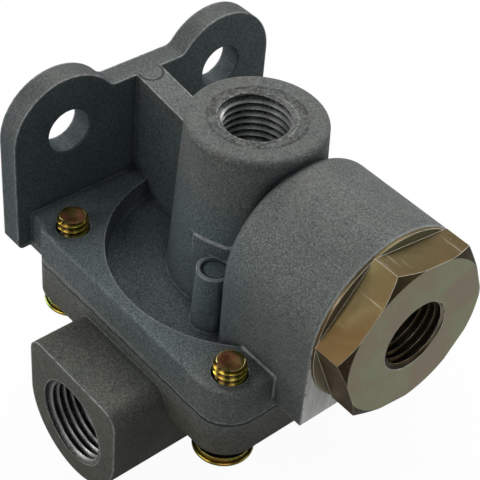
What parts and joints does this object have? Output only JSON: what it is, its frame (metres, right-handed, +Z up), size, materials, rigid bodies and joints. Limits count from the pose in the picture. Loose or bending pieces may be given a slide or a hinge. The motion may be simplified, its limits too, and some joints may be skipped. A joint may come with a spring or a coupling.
{
  "type": "quick release valve",
  "caption": "Cast quick release valve with a double check valve drum, a hexagon cap nut, threaded air ports and a bracket plate that bolts to a vehicle frame.",
  "frame": {"origin": "on the bracket plate's mounting face, midway between its two bolt holes", "axes": "+X out of the mounting face towards the cap nut, +Y along the line of bolt holes, +Z up along the balance boss"},
  "size_m": [0.0749, 0.0764, 0.0665],
  "materials": {
    "cast_alloy": "rough as cast",
    "yellow_zinc": "yellow chromate zinc plate",
    "rubber": "matte",
    "acetal": "satin",
    "spring_steel": "drawn wire"
  },
  "bodies": {
    "valve": {"valve_body": "cast_alloy", "lower_cover": "cast_alloy", "cap_nut": "yellow_zinc", "cap_nut_o_ring": "rubber", "check_guide": "acetal", "check_guide_o_ring": "rubber", "cover_seal_ring": "rubber", "diaphragm_spring": "spring_steel", "cover_screw_1": "yellow_zinc", "cover_screw_2": "yellow_zinc", "cover_screw_3": "yellow_zinc", "cover_screw_4": "yellow_zinc", "lock_washer_1": "yellow_zinc", "lock_washer_2": "yellow_zinc", "lock_washer_3": "yellow_zinc", "lock_washer_4": "yellow_zinc"},
    "check": {"check_disc": "rubber"},
    "release": {"release_diaphragm": "rubber", "spring_seat": "acetal", "spring_seat_o_ring": "rubber"}
  },
  "joints": [
    {"name": "check_slide", "type": "slide", "parent": "valve", "child": "check", "axis": [1, 0, 0], "range_m": [0, 0.0026]},
    {"name": "release_slide", "type": "slide", "parent": "valve", "child": "release", "axis": [0, 0, 1], "range_m": [0, 0.002], "stiffness_N_per_m": 100, "springref_m": -0.003, "deforming": ["diaphragm_spring"]}
  ]
}
